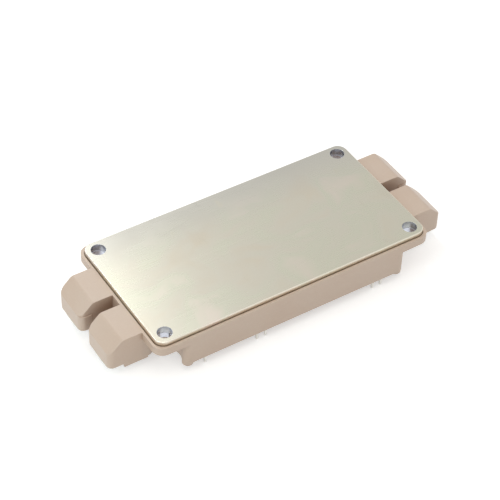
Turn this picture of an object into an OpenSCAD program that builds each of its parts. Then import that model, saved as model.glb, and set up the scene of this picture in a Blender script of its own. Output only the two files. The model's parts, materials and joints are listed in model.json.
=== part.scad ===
// Half-bridge power module, lying on its signal pins with the baseplate on top.
// Every height is a depth measured down from the mounting face of the baseplate.
// The origin lies on the surface under the pin tips, at the centre of the module.

/* [Mounting holes] */
// Distance between mounting holes along the module
mount_l = 110; // [108:0.5:111]
// Distance between mounting holes across the module
mount_w = 50; // [48:0.5:51]
// Bore of the steel bushes
bush_bore_d = 5.5; // [5:0.1:5.6]
// Outer diameter of the steel bushes
bush_d = 8; // [7:0.1:8.6]
// How far a bush stands out of the underside of the flange
bush_proud = 0.1; // [0.05:0.05:0.3]
// Round clearance for a screw head under the flange
head_d = 12.6; // [11:0.2:12.8]
// Distance from a mounting hole to the walls beside it
wall_side = 5.5; // [5.3:0.1:6]

/* [Flange] */
// Distance from a mounting hole to the end of the flange
flange_end = 6.3; // [6.1:0.1:7]
// Distance from a mounting hole to the side of the flange
flange_side = 6; // [5.8:0.1:7]
// Corner radius of the flange
frame_r = 4.5; // [3:0.5:6]
// Depth of the underside of the flange
flange_h = 5.5; // [5:0.1:6]

/* [Baseplate] */
// Width of the flange that shows around the baseplate
rim_w = 1.3; // [1:0.1:1.8]
// Thickness of the baseplate
plate_t = 3; // [2.5:0.1:3.2]
// Corner radius of the baseplate
plate_r = 4; // [3:0.5:5]
// Holes through the baseplate
plate_hole_d = 5.8; // [5.6:0.1:6.6]
// How far the baseplate stands out of the flange
plate_proud = 1.85; // [1.2:0.05:2.2]
// Open groove between the edge of the baseplate and the flange
groove_w = 0.3; // [0.2:0.05:0.4]
// Thickness of the sealing bead under the baseplate
seal_t = 0.2; // [0.1:0.05:0.3]
// Width of the sealing bead under the baseplate
seal_w = 4; // [3:0.5:5]
// How far the sealing bead lies below the mouth of the groove
seal_sunk = 0.45; // [0.2:0.05:0.6]

/* [Body] */
// Depth of the lower edge of the long walls
wall_h = 15.5; // [15:0.1:16]
// Radius of the upright corners of the body
body_r = 2.5; // [1.5:0.5:4]
// Thickness of the long walls that hold the signal pins
rail_t = 4.5; // [4:0.1:5]
// Thickness of the end walls
end_wall_t = 2.6; // [2.4:0.1:3]
// Thickness of the side walls between two notches
neck_wall_t = 2.5; // [2.3:0.1:3]
// Thickness of the walls between the cavity and the terminal blocks
neck_end_t = 3.3; // [3:0.1:3.6]

/* [Terminal blocks] */
// Width of the slot between two blocks
slot_w = 5.6; // [5:0.1:6]
// How far a block reaches past its terminal
block_past = 0.8; // [0.5:0.1:2]
// Height of the step that carries a terminal under its block
seat_step = 1; // [0.6:0.1:1.4]
// Length of the sloping face at the end of a block
slope_l = 5.6; // [4:0.1:6]
// Depth of the foot of the sloping face
slope_h = 7.3; // [6:0.1:8]
// Radius of the upright outer corners of the blocks
block_r = 2.5; // [1:0.5:3]
// How far the cheeks stay above the contact face beside them
cheek_short = 0.6; // [0.5:0.1:1]
// How far the cheeks reach past the terminal hole
cheek_past = 0.4; // [-0.6:0.1:1]
// Thickness of a cheek
cheek_t = 1; // [0.8:0.1:1.1]
// Step on the slot side of a block
lip_t = 0.4; // [0.2:0.1:0.5]
// Length of that step
lip_l = 5; // [3:0.1:6]

/* [Circuit board posts] */
// Distance from the axis of a post to the long wall's outer face
post_side = 2.5; // [2.3:0.1:2.7]
// Diameter of a post
post_d = 4.5; // [4:0.1:4.6]
// How far a post stands out below the walls
post_proud = 1.5; // [1:0.1:2]
// Screw hole in a post
post_bore_d = 2.1; // [2:0.05:2.3]
// Length of the screw hole in a post
post_bore_l = 10; // [6:0.5:10.5]

/* [Power terminals] */
// Thickness of the copper strip
strip_t = 1.5; // [1.2:0.1:1.6]
// Width of the contact face
tab_w = 13; // [12:0.1:13]
// How far the contact faces stand out below the walls
tab_proud = 1.5; // [1.1:0.1:2.5]
// Distance from the end of the flange to the terminal hole
tab_reach = 7.2; // [7:0.1:7.7]
// Distance from the terminal hole to the end of the contact face
tab_end = 6; // [5.5:0.1:6.5]
// Hole in the contact face
terminal_hole_d = 6.6; // [6.4:0.1:7]
// Distance from the end of the flange to the middle of the upright strip
riser_inset = 0.55; // [0.3:0.05:0.8]
// Bend radius at the middle of the strip
bend_r = 1.3; // [1.2:0.05:1.4]
// Straight upright length between the two bends over the foot
foot_rise = 0.65; // [0.4:0.05:1.2]
// Length of the soldered foot of a strip
foot_l = 2.7; // [2:0.1:2.8]
// Clearance of the strips and nuts in the housing
strip_gap = 0.1; // [0.05:0.05:0.15]

/* [Terminal nuts] */
// Width of a nut over its flats
nut_af = 10; // [9.8:0.1:10]
// Thickness of a nut
nut_t = 5; // [4.5:0.1:5.2]
// Core diameter of the thread
nut_bore_d = 5; // [4.8:0.1:5.3]
// Diameter of the room for the end of a terminal screw
screw_room_d = 7; // [6.5:0.1:7.5]
// Length of the room for the end of a terminal screw
screw_room_l = 3; // [2:0.5:4]

/* [Signal pins] */
// How far the pins stand out below the walls
pin_proud = 5; // [4.5:0.1:8]
// Grid of the signal pins
pin_grid = 3.81; // [3.6:0.01:3.9]
// Distance from a row of pins to the long wall's outer face
pin_side = 2; // [1.8:0.1:2.2]
// Width of a pin along the wall
pin_w = 1; // [0.8:0.05:1.2]
// Thickness of a pin across the wall
pin_t = 0.8; // [0.6:0.05:0.9]
// Bend radius at the middle of a pin
pin_bend_r = 0.8; // [0.6:0.05:1]
// Length of a pin's inner leg, from its row to its inner end
pin_leg_l = 5.1; // [4.8:0.1:5.3]
// Depth of the shelf that carries the inner legs of the pins
shelf_h = 6.1; // [5.8:0.1:6.4]
// How far the shelf reaches past the inner ends of the pins
shelf_past = 0.4; // [0.3:0.1:0.6]
// Length of the tapered tip of a pin
pin_tip_l = 0.8; // [0.5:0.1:1.2]
// Width of the end of that tip
pin_tip_w = 0.5; // [0.3:0.05:0.7]
// Clearance of a pin in the wall
pin_gap = 0.05; // [0.03:0.01:0.08]

/* [Lid] */
// Thickness of the lid
lid_t = 1.8; // [1.5:0.1:2]
// How far the lid lies inside the lower edge of the walls
lid_sunk = 0.2; // [0.1:0.05:0.4]
// Width of the shoulder that carries the lid
lid_seat = 0.8; // [0.6:0.05:0.9]
// Clearance around the lid
lid_gap = 0.2; // [0.1:0.05:0.25]
// Height of the stiffening ribs inside the lid
lid_rib_h = 1.5; // [1:0.1:2]
// Thickness of the stiffening ribs inside the lid
lid_rib_t = 1.2; // [1:0.1:1.6]

/* [Substrates] */
// Distance from the end walls to the first and last ceramic plate
ceramic_end = 0.9; // [0.5:0.1:1.5]
// Distance from the pin shelves to the ceramic plates
ceramic_side = 1.5; // [1.2:0.1:2]
// Distance between two ceramic plates
ceramic_gap = 1; // [0.8:0.1:1.4]
// Thickness of a ceramic plate
ceramic_t = 0.4; // [0.3:0.05:0.6]
// Thickness of the copper layers
copper_t = 0.3; // [0.2:0.05:0.4]
// Bare border of the ceramic around the copper
border_w = 1; // [0.8:0.1:1.2]
// Thickness of the solder under a substrate
solder_t = 0.2; // [0.1:0.05:0.3]

/* [Chips] */
// Length of a transistor chip
igbt_l = 12; // [11:0.1:12.2]
// Distance between a transistor and its diode
chip_gap = 1; // [0.8:0.1:1.2]
// Thickness of a chip
chip_t = 0.2; // [0.12:0.02:0.3]
// Thickness of the solder under a chip
chip_solder_t = 0.1; // [0.06:0.02:0.15]
// Length of the thermistor
ntc_l = 3.2; // [3:0.1:3.4]
// Width of the thermistor
ntc_w = 1.2; // [1:0.05:1.3]
// Thickness of the thermistor
ntc_t = 0.8; // [0.6:0.05:1]

/* [Bond wires] */
// Diameter of a bond wire
wire_d = 0.4; // [0.3:0.02:0.5]
// Length of the flat bond at each end of a wire
bond_l = 0.8; // [0.6:0.05:1]
// Distance between two wires from one substrate to the next
wire_pitch = 2; // [1.8:0.1:2.2]
// Height of the arch of a wire
wire_rise = 2; // [1.5:0.1:2.2]
// Clear space in the gel around the wires
wire_room = 0.3; // [0.2:0.05:0.4]

/* [Gel] */
// Distance from the surface of the gel to the ribs of the lid
gel_room = 0.4; // [0.2:0.1:1]

/* [Hidden] */

$fn = 48;

// Extra length of a cutting solid past the face that it cuts
over = 1;
// Straight pieces in a bend of a strip
bend_turns = 6;

moulded = [0.80, 0.73, 0.65];
nickel = [0.80, 0.79, 0.72];
steel = [0.62, 0.64, 0.67];
tinned = [0.78, 0.78, 0.76];
copper = [0.80, 0.50, 0.34];
solder = [0.62, 0.62, 0.63];
alumina = [0.93, 0.92, 0.88];
silicon = [0.30, 0.31, 0.35];
aluminium = [0.84, 0.85, 0.86];
rubbery = [0.35, 0.29, 0.22];
clear_gel = [0.85, 0.88, 0.90];

// Places of the pins along each wall, counted in grid steps from the middle
front_pin_steps = [-10.5, -4.5, -3.5, 9.5, 10.5];
back_pin_steps = [-10.5, -9.5, -2.5, 3.5, 4.5, 10.5];

// Outlines, worked out from the mounting holes
frame_l = mount_l + 2 * flange_end;
frame_w = mount_w + 2 * flange_side;
plate_l = frame_l - 2 * rim_w;
plate_w = frame_w - 2 * rim_w;
body_l = mount_l - 2 * wall_side;
block_w = mount_w - 2 * wall_side;
neck_cavity_l = frame_l - 2 * neck_end_t;
terminal_pitch = frame_l + 2 * tab_reach;
tab_l = terminal_pitch + 2 * tab_end;
block_l = tab_l + 2 * block_past;
cheek_l = terminal_pitch + 2 * cheek_past;
riser_l = frame_l - 2 * riser_inset;
post_l = body_l - post_d;
post_w = frame_w - 2 * post_side;
pin_row_w = frame_w - 2 * pin_side;
pin_inner_w = pin_row_w - 2 * pin_leg_l;
shelf_gap_w = pin_inner_w - 2 * shelf_past;

// Depths under the walls
overall_h = wall_h + pin_proud;
post_h = wall_h + post_proud;
terminal_h = wall_h + tab_proud;
cheek_h = terminal_h - cheek_short;
seal_top_h = plate_proud + seal_sunk;

// Depths of the layers under the baseplate, worked out one from another
seat_h = plate_t + seal_t;
back_copper_h = plate_t + solder_t;
ceramic_h = back_copper_h + copper_t;
tracks_h = ceramic_h + ceramic_t;
track_face_h = tracks_h + copper_t;
chip_h = track_face_h + chip_solder_t;
chip_face_h = chip_h + chip_t;

// Middle of a terminal block across the module
block_y = (slot_w + block_w) / 4;
nut_face_h = terminal_h - strip_t;
block_h = nut_face_h - seat_step;
// Depth of the middle of a terminal strip inside the cavity
bar_h = track_face_h + strip_t / 2 + 2 * bend_r + foot_rise;
lid_face_h = wall_h - lid_sunk;
lid_seat_h = lid_face_h - lid_t;
gel_h = lid_seat_h - lid_rib_h - gel_room;
cavity_l = body_l - 2 * end_wall_t;
cavity_w = frame_w - 2 * rail_t;
neck_cavity_w = block_w - 2 * neck_wall_t;

// Depths that hold every wire of the chips and every wire of the pins
wire_top_h = chip_face_h + wire_rise + wire_d + wire_room;
pin_wire_top_h = shelf_h + pin_t + wire_rise + wire_d + wire_room;
// Straight pieces in the arch of a wire
wire_steps = 8;

// Three substrates fill the length of the cavity
substrates = 3;
ceramic_l = (cavity_l - 2 * ceramic_end - (substrates - 1) * ceramic_gap) / substrates;
ceramic_w = shelf_gap_w - 2 * ceramic_side;
ceramic_pitch = ceramic_l + ceramic_gap;

// Copper areas of a substrate, from the middle of the module outwards along Y
copper_l = ceramic_l - 2 * border_w;
track_w = 1.1;
track_gap = 0.5;
track_inset = 0.15;
// Free copper beside the chips
plus_spare_w = 1.65;
output_spare_w = 4;
sense_y = ceramic_w / 2 - border_w - track_w / 2 - track_inset;
gate_y = sense_y - track_w - track_gap;
plane_end_y = gate_y - track_w / 2 - track_gap;
minus_w = 6.65;
minus_y = [-plane_end_y, minus_w - plane_end_y];
// The chips share what is left of the width
chip_w = (plane_end_y - minus_y[1] - 2 * track_gap - plus_spare_w - output_spare_w) / 2;
plus_y = [plane_end_y - chip_w - plus_spare_w, plane_end_y];
output_y = [minus_y[1] + track_gap, plus_y[0] - track_gap];

// Pads of the thermistor, at the end of the last substrate, and the tracks cut short for them
ntc_pad_l = 2.4;
ntc_pad_spread = 0.2;
ntc_pad_pitch = ntc_l + ntc_pad_spread;
ntc_x = (copper_l - ntc_pad_pitch - ntc_pad_l) / 2;
short_strip_l = copper_l - ntc_pad_pitch - ntc_pad_l - 2 * track_gap;

// Middles of the chips on a substrate. A diode ends beside the foot of a terminal
inner_margin = 2.5;
foot_gap = 0.3;
diode_l = copper_l - inner_margin - igbt_l - chip_gap - foot_l - foot_gap;
igbt_x = inner_margin + igbt_l / 2 - copper_l / 2;
diode_x = igbt_x + igbt_l / 2 + chip_gap + diode_l / 2;
chip_margin = 0.35;
high_chip_y = plus_y[0] + chip_margin + chip_w / 2;
low_chip_y = output_y[0] + chip_margin + chip_w / 2;

function level(depth) = overall_h - depth;

// Solid between two depths, from the flat shape that it is given
module between(from, to) {
    translate([0, 0, level(to)])
        linear_extrude(to - from)
            children();
}

module rounded(l, w, r) {
    square([l - 2 * r, w], center = true);
    square([l, w - 2 * r], center = true);
    at_corners(l - 2 * r, w - 2 * r)
        circle(r);
}

module at_corners(l, w) {
    for (x = [-l / 2, l / 2], y = [-w / 2, w / 2])
        translate([x, y])
            children();
}

// Points of a flat strip that follows a path with square bends
function direction(a, b) = (b - a) / norm(b - a);

function bend(a, b, c, r, side) =
    let (u = direction(a, b), v = direction(b, c),
         left = u[0] * v[1] - u[1] * v[0] > 0,
         rho = left ? r - side : r + side,
         middle = b + (v - u) * r)
    [for (i = [0:bend_turns], turn = 90 * i / bend_turns) middle + rho * (u * sin(turn) - v * cos(turn))];

function edge_point(a, b, at, side) = at + side * [-(b - a)[1], (b - a)[0]] / norm(b - a);

function one_side(path, r, side) =
    let (last = len(path) - 1)
    concat(
        [edge_point(path[0], path[1], path[0], side)],
        [for (i = [1:last - 1], p = bend(path[i - 1], path[i], path[i + 1], r, side)) p],
        [edge_point(path[last - 1], path[last], path[last], side)]
    );

function reversed(list) = [for (i = [len(list) - 1:-1:0]) list[i]];

function strip_points(path, r, t) =
    concat(one_side(path, r, t / 2), reversed(one_side(path, r, -t / 2)));

module baseplate() {
    color(nickel)
        between(0, plate_t)
            difference() {
                rounded(plate_l, plate_w, plate_r);
                at_corners(mount_l, mount_w)
                    circle(d = plate_hole_d);
            }
}

module cavity_shape(grow) {
    square([cavity_l + 2 * grow, cavity_w + 2 * grow], center = true);
    square([neck_cavity_l + 2 * grow, neck_cavity_w + 2 * grow], center = true);
}

module post_shapes(grow) {
    at_corners(post_l, post_w)
        circle(d = post_d + 2 * grow);
}

module seal() {
    color(rubbery) {
        between(plate_t, seat_h)
            difference() {
                rounded(plate_l + 2 * groove_w, plate_w + 2 * groove_w, plate_r + groove_w);
                rounded(plate_l - 2 * seal_w, plate_w - 2 * seal_w, plate_r);
                at_corners(mount_l, mount_w)
                    circle(d = bush_d);
            }
        between(seal_top_h, plate_t)
            difference() {
                rounded(plate_l + 2 * groove_w, plate_w + 2 * groove_w, plate_r + groove_w);
                rounded(plate_l, plate_w, plate_r);
            }
    }
}

// Upright shape of a terminal block, with its sloping end, drawn from the module's middle
module block_side() {
    polygon([
        [0, level(plate_proud)],
        [block_l / 2 - slope_l, level(plate_proud)],
        [block_l / 2, level(slope_h)],
        [block_l / 2, level(block_h)],
        [0, level(block_h)]
    ]);
}

module block() {
    inner = slot_w / 2;
    outer = block_w / 2;
    intersection() {
        translate([0, outer, 0])
            rotate([90, 0, 0])
                linear_extrude(outer - inner + lip_t)
                    block_side();
        between(0, block_h)
            block_plan(inner, outer);
    }
    intersection() {
        between(slope_h, block_h)
            translate([block_l / 2 - lip_l, inner - lip_t])
                square([lip_l, block_r + lip_t]);
        between(0, block_h)
            block_plan(inner - lip_t, outer);
    }
}

// Block seen from above, with its two outer corners rounded
module block_plan(inner, outer) {
    length = block_l / 2 - body_l / 2 + end_wall_t;
    start = block_l / 2 - length;
    translate([start, inner])
        square([length - block_r, outer - inner]);
    translate([start, inner + block_r])
        square([length, outer - inner - 2 * block_r]);
    for (y = [inner + block_r, outer - block_r])
        translate([block_l / 2 - block_r, y])
            circle(block_r);
}

// Everything that a terminal needs around it in one block
module block_cuts() {
    translate([terminal_pitch / 2, block_y]) {
        between(nut_face_h - nut_t - strip_gap, terminal_h)
            hexagon(nut_af + 2 * strip_gap);
        between(nut_face_h - nut_t - screw_room_l, terminal_h)
            circle(d = screw_room_d);
    }
}

module hexagon(across_flats) {
    rotate(30)
        circle(d = across_flats / cos(30), $fn = 6);
}

module cheek_plan() {
    start = neck_cavity_l / 2 + lid_seat;
    length = cheek_l / 2 - start;
    for (y = [slot_w / 2, block_w / 2 - cheek_t])
        translate([start, y])
            square([length, cheek_t]);
}

module at_blocks() {
    for (x = [0, 1], y = [0, 1])
        mirror([x, 0])
            mirror([0, y])
                children();
}

module housing() {
    color(moulded)
        difference() {
            union() {
                between(plate_proud, flange_h)
                    rounded(frame_l, frame_w, frame_r);
                between(flange_h, wall_h)
                    rounded(body_l, frame_w, body_r);
                between(flange_h, wall_h)
                    square([frame_l, block_w], center = true);
                between(flange_h, post_h)
                    post_shapes(0);
                at_blocks() {
                    block();
                    between(block_h, nut_face_h)
                        translate([terminal_pitch / 2, block_y])
                            square([tab_l - terminal_pitch, tab_w], center = true);
                    between(block_h, nut_face_h)
                        translate([frame_l / 2 - over, block_y - tab_w / 2])
                            square([terminal_pitch / 2 - frame_l / 2 + over, tab_w]);
                    between(block_h, cheek_h)
                        cheek_plan();
                }
            }
            between(plate_proud - over, seat_h)
                rounded(plate_l + 2 * groove_w, plate_w + 2 * groove_w, plate_r + groove_w);
            difference() {
                between(seat_h - over, lid_seat_h + over)
                    cavity_shape(0);
                between(seat_h - 2 * over, post_h)
                    post_shapes(0);
                between(seat_h, shelf_h)
                    pin_shelves();
            }
            difference() {
                between(lid_seat_h, wall_h + over)
                    cavity_shape(lid_seat);
                between(lid_seat_h - over, post_h)
                    post_shapes(0);
            }
            between(flange_h, post_h + over)
                at_corners(mount_l, mount_w)
                    circle(d = head_d);
            between(seat_h - over, flange_h + over)
                at_corners(mount_l, mount_w)
                    circle(d = bush_d);
            between(post_h - post_bore_l, post_h + over)
                at_corners(post_l, post_w)
                    circle(d = post_bore_d);
            at_blocks()
                block_cuts();
            for (t = terminals)
                terminal_strip(t, strip_gap);
            for (x = front_pin_steps)
                pin(x, -1, pin_gap);
            for (x = back_pin_steps)
                pin(x, 1, pin_gap);
        }
}

module pin_shelves() {
    difference() {
        square([cavity_l + 2 * over, cavity_w + 2 * over], center = true);
        square([cavity_l + 4 * over, shelf_gap_w], center = true);
    }
}

module lid() {
    color(moulded) {
        between(lid_seat_h, lid_face_h)
            lid_shape(lid_seat - lid_gap);
        between(lid_seat_h - lid_rib_h, lid_seat_h)
            difference() {
                lid_shape(-lid_gap);
                lid_shape(-lid_gap - lid_rib_t);
            }
    }
}

module lid_shape(grow) {
    difference() {
        cavity_shape(grow);
        post_shapes(lid_gap);
    }
}

module bush() {
    color(steel)
        between(plate_t, flange_h + bush_proud)
            difference() {
                circle(d = bush_d);
                circle(d = bush_bore_d);
            }
}

module terminal_nut() {
    color(steel)
        between(nut_face_h - nut_t, nut_face_h)
            difference() {
                hexagon(nut_af);
                circle(d = nut_bore_d);
            }
}

// Widths of the soldered feet, and how far each one lies inside the edge of its track
plus_foot_w = 8;
plus_foot_inset = 2;
minus_foot_w = 5;
minus_foot_inset = 1;
output_foot_w = [3, 4];
output_foot_inset = [0.3, 1.5];

// Each terminal: end of the module, side, and the span of its foot along Y
terminals = [
    [-1, 1, plus_y[0] + plus_foot_inset, plus_y[0] + plus_foot_inset + plus_foot_w],
    [-1, -1, minus_y[0] + minus_foot_inset, minus_y[0] + minus_foot_inset + minus_foot_w],
    [1, 1, output_y[1] - output_foot_inset[0] - output_foot_w[0], output_y[1] - output_foot_inset[0]],
    [1, -1, output_y[0] + output_foot_inset[1], output_y[0] + output_foot_inset[1] + output_foot_w[1]]
];

// Room between a strip and the side walls of the neck, and how far its full width reaches inwards
neck_room = 0.5;
tab_inward = 1;

// Upright path of a strip, from the contact face down to the foot
function strip_path(grow) =
    let (tab = terminal_h - strip_t / 2, foot = track_face_h + strip_t / 2,
         drop_x = foot_drop_x)
    [
        [tab_l / 2 + grow, level(tab)],
        [riser_l / 2, level(tab)],
        [riser_l / 2, level(bar_h)],
        [drop_x, level(bar_h)],
        [drop_x, level(foot)],
        [drop_x - bend_r - foot_l - grow, level(foot)]
    ];

// The foot lies on the outer margin of the last substrate
foot_drop_x = ceramic_pitch + copper_l / 2 + bend_r;

module terminal_strip(t, grow) {
    y = t[1] * block_y;
    low = min(t[2], y - tab_w / 2);
    high = max(t[3], y + tab_w / 2);
    inner_low = max(low, neck_room - neck_cavity_w / 2);
    inner_high = min(high, neck_cavity_w / 2 - neck_room);
    neck_x = neck_cavity_l / 2 - tab_inward;
    mirror([t[0] < 0 ? 1 : 0, 0])
        difference() {
            intersection() {
                translate([0, high + grow, 0])
                    rotate([90, 0, 0])
                        linear_extrude(high - low + 2 * grow)
                            polygon(strip_points(strip_path(grow), bend_r, strip_t + 2 * grow));
                between(0, terminal_h + over)
                    union() {
                        translate([neck_x, y - tab_w / 2 - grow])
                            square([tab_l / 2 - neck_x + over, tab_w + 2 * grow]);
                        translate([foot_drop_x + bend_r, inner_low - grow])
                            square([neck_x - foot_drop_x - bend_r, inner_high - inner_low + 2 * grow]);
                        translate([0, t[2] - grow])
                            square([foot_drop_x + bend_r, t[3] - t[2] + 2 * grow]);
                    }
            }
            if (grow == 0)
                between(nut_face_h - over, terminal_h + over)
                    translate([terminal_pitch / 2, y])
                        circle(d = terminal_hole_d);
        }
}

module terminal(i) {
    color(tinned)
        terminal_strip(terminals[i], 0);
}

// Upright path of a pin, from its tip to its inner end
function pin_path(grow) = [
    [pin_row_w / 2, 0],
    [pin_row_w / 2, level(shelf_h + pin_t / 2)],
    [pin_inner_w / 2 - grow, level(shelf_h + pin_t / 2)]
];

module pin(steps, side, grow) {
    translate([steps * pin_grid, 0, 0])
        mirror([0, side < 0 ? 1 : 0])
            intersection() {
                translate([-pin_w / 2 - grow, 0, 0])
                    rotate([90, 0, 90])
                        linear_extrude(pin_w + 2 * grow)
                            polygon(strip_points(pin_path(grow), pin_bend_r, pin_t + 2 * grow));
                translate([0, frame_w / 2, 0])
                    rotate([90, 0, 0])
                        linear_extrude(frame_w / 2)
                            polygon(pin_front(grow));
            }
}

// Pin seen along Y, with its tapered tip
function pin_front(grow) =
    let (half = pin_w / 2 + grow, tip = pin_tip_w / 2 + grow)
    [[-tip, 0], [tip, 0], [half, pin_tip_l], [half, overall_h], [-half, overall_h], [-half, pin_tip_l]];

module signal_pin(steps, side) {
    color(tinned)
        pin(steps, side, 0);
}

// Places something on each substrate. The first one is turned so that its free margin lies outside
module on_substrate(i) {
    translate([(i - 2) * ceramic_pitch, 0, 0])
        mirror([i == 1 ? 1 : 0, 0])
            children();
}

module substrate_solder(i) {
    color(solder)
        between(plate_t, back_copper_h)
            on_substrate(i)
                square([copper_l, ceramic_w - 2 * border_w], center = true);
}

module back_copper(i) {
    color(copper)
        between(back_copper_h, ceramic_h)
            on_substrate(i)
                square([copper_l, ceramic_w - 2 * border_w], center = true);
}

module ceramic(i) {
    color(alumina)
        between(ceramic_h, tracks_h)
            on_substrate(i)
                square([ceramic_l, ceramic_w], center = true);
}

module track(span, length) {
    translate([-copper_l / 2, span[0]])
        square([length, span[1] - span[0]]);
}

module tracks(i) {
    low_l = i == 3 ? short_strip_l : copper_l;
    color(copper)
        between(tracks_h, track_face_h)
            on_substrate(i) {
                for (span = [plus_y, output_y, minus_y])
                    track(span, copper_l);
                for (y = [gate_y, sense_y]) {
                    track([y - track_w / 2, y + track_w / 2], copper_l);
                    track([-y - track_w / 2, -y + track_w / 2], low_l);
                }
                if (i == 3)
                    for (side = [-1, 1])
                        translate([ntc_x + (side * ntc_pad_pitch - ntc_pad_l) / 2, -sense_y - track_w / 2])
                            square([ntc_pad_l, 2 * track_w + track_gap]);
            }
}

// Chips 1 to 3 are the high side of the three substrates, chips 4 to 6 the low side
module chip_shape(i, x, l) {
    on_substrate(i > 3 ? i - 3 : i)
        translate([x, i > 3 ? low_chip_y : high_chip_y])
            square([l, chip_w], center = true);
}

module igbt_chip(i) {
    color(silicon)
        between(chip_h, chip_face_h)
            chip_shape(i, igbt_x, igbt_l);
}

module diode_chip(i) {
    color(silicon)
        between(chip_h, chip_face_h)
            chip_shape(i, diode_x, diode_l);
}

module chip_solder() {
    color(solder)
        for (i = [1:6])
            between(track_face_h, chip_h) {
                chip_shape(i, igbt_x, igbt_l);
                chip_shape(i, diode_x, diode_l);
            }
}

module thermistor() {
    color(alumina)
        between(track_face_h, track_face_h + ntc_t)
            on_substrate(3)
                translate([ntc_x, -gate_y])
                    square([ntc_l, ntc_w], center = true);
}

// A wire from one point to another. Each point is [x, y, depth of the face under it]
module wire(a, b) {
    run = b - a;
    translate([a[0], a[1], level(a[2])])
        rotate([0, 0, atan2(run[1], run[0])])
            translate([0, wire_d / 2, 0])
                rotate([90, 0, 0])
                    linear_extrude(wire_d)
                        polygon(wire_side(norm([run[0], run[1]]), a[2] - b[2]));
}

// Side view of a wire: a flat bond at each end and an arch between them
function wire_side(span, step) =
    let (start = bond_l / 2, end = span - bond_l / 2,
         inner = [for (i = [1:wire_steps - 1]) arch_point(i / wire_steps, start, end, step, wire_d / 2)],
         outer = [for (i = [1:wire_steps - 1]) arch_point(i / wire_steps, start, end, step, -wire_d / 2)])
    concat(
        [[-start, 0], [start, 0]], inner,
        [[end, step], [span + start, step], [span + start, step - wire_d], [end, step - wire_d]],
        reversed(outer), [[start, -wire_d], [-start, -wire_d]]
    );

function arch_point(s, start, end, step, offset) =
    let (along = [end - start, step - wire_rise * PI * cos(180 * s)],
         middle = [start + s * (end - start), s * step - wire_rise * sin(180 * s) - wire_d / 2])
    middle + offset * [-along[1], along[0]] / norm(along);

// How far the bonds lie inside the edges of the chips, the tracks, the pins and the pads
power_bond_inset = 3;
gate_bond_inset = 1;
land_inset = 2;
row_inset = 1.25;
pin_bond_inset = 0.7;
pad_bond_inset = 0.4;

// Where the wires of a substrate start on the chips and land on the tracks
high_start_y = high_chip_y - chip_w / 2 + power_bond_inset;
low_start_y = low_chip_y - chip_w / 2 + power_bond_inset;
output_land_y = output_y[1] - land_inset;
minus_land_y = (minus_y[0] + minus_y[1]) / 2;
high_gate_start_y = high_chip_y + chip_w / 2 - gate_bond_inset;
low_gate_start_y = low_chip_y - chip_w / 2 + gate_bond_inset;
// A transistor has five power wires between its two control wires, and a diode has four
control_inset = 1;
diode_inset = 1.75;
gate_wire_x = igbt_x - igbt_l / 2 + control_inset;
sense_wire_x = igbt_x + igbt_l / 2 - control_inset;
igbt_pitch = (igbt_l - 2 * control_inset) / 5;
diode_pitch = (diode_l - 2 * diode_inset) / 3;
power_wires_x = concat(
    [for (k = [-2:2]) igbt_x + k * igbt_pitch],
    [for (k = [-1.5:1.5]) diode_x + k * diode_pitch]
);

// Wires of one substrate as [start, end], in the substrate's own places
function chip_wire_list() = concat(
    [for (x = power_wires_x) [[x, high_start_y, chip_face_h], [x, output_land_y, track_face_h]]],
    [for (x = power_wires_x) [[x, low_start_y, chip_face_h], [x, minus_land_y, track_face_h]]],
    [for (w = [[gate_wire_x, gate_y], [sense_wire_x, sense_y]])
        each [
            [[w[0], high_gate_start_y, chip_face_h], [w[0], w[1], track_face_h]],
            [[w[0], low_gate_start_y, chip_face_h], [w[0], -w[1], track_face_h]]
        ]]
);

// Clear pocket in the gel around wires that lie within a span along X and Y
module wire_pocket(x, y, to = wire_top_h) {
    side = wire_d / 2 + wire_room;
    between(track_face_h, to)
        translate([min(x) - side - bond_l / 2, min(y) - side - bond_l / 2])
            square([max(x) - min(x) + 2 * side + bond_l, max(y) - min(y) + 2 * side + bond_l]);
}

module wire_pockets() {
    for (i = [1:3])
        on_substrate(i) {
            wire_pocket(power_wires_x, [high_start_y, output_land_y]);
            wire_pocket(power_wires_x, [low_start_y, minus_land_y]);
            for (w = [[gate_wire_x, gate_y], [sense_wire_x, sense_y]]) {
                wire_pocket([w[0], w[0]], [high_gate_start_y, w[1]]);
                wire_pocket([w[0], w[0]], [low_gate_start_y, -w[1]]);
            }
        }
    for (side = [-1, 1])
        translate([side * ceramic_pitch / 2, 0])
            wire_pocket([-link_reach, link_reach], [-sense_y, sense_y]);
    for (w = all_signal_wires())
        wire_pocket([w[0][0], w[1][0]], [w[0][1], w[1][1]], pin_wire_top_h);
}

function mirrored(p, i) = [(i - 2) * ceramic_pitch + (i == 1 ? -p[0] : p[0]), p[1], p[2]];

function all_chip_wires() = [for (i = [1:3], w = chip_wire_list()) [mirrored(w[0], i), mirrored(w[1], i)]];

// Wires that join the tracks of one substrate to the next
function link_rows() = concat(
    [for (span = [plus_y, output_y, minus_y])
        for (y = [span[0] + row_inset:wire_pitch:span[1] - row_inset]) y],
    [gate_y, sense_y, -gate_y, -sense_y]
);

link_bond_inset = 1.2;
link_reach = (ceramic_pitch - copper_l) / 2 + link_bond_inset;

function all_link_wires() =
    [for (side = [-1, 1], y = link_rows())
        let (x = side * ceramic_pitch / 2)
        [[x - link_reach, y, track_face_h], [x + link_reach, y, track_face_h]]];

// Wires from the inner ends of the pins to the tracks. A pin lands on the nearest substrate,
// clear of the links at the ends of its tracks
link_margin = 2.5;

function nearest_track_x(x) =
    let (i = min(1, max(-1, round(x / ceramic_pitch))),
         middle = i * ceramic_pitch,
         free = copper_l / 2 - link_margin)
    middle + min(free, max(-free, x - middle));

function pin_wire(steps, side, y) =
    let (x = steps * pin_grid)
    [[x, side * (pin_inner_w / 2 + pin_bond_inset), shelf_h + pin_t],
     [nearest_track_x(x), side * y, track_face_h]];

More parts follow.
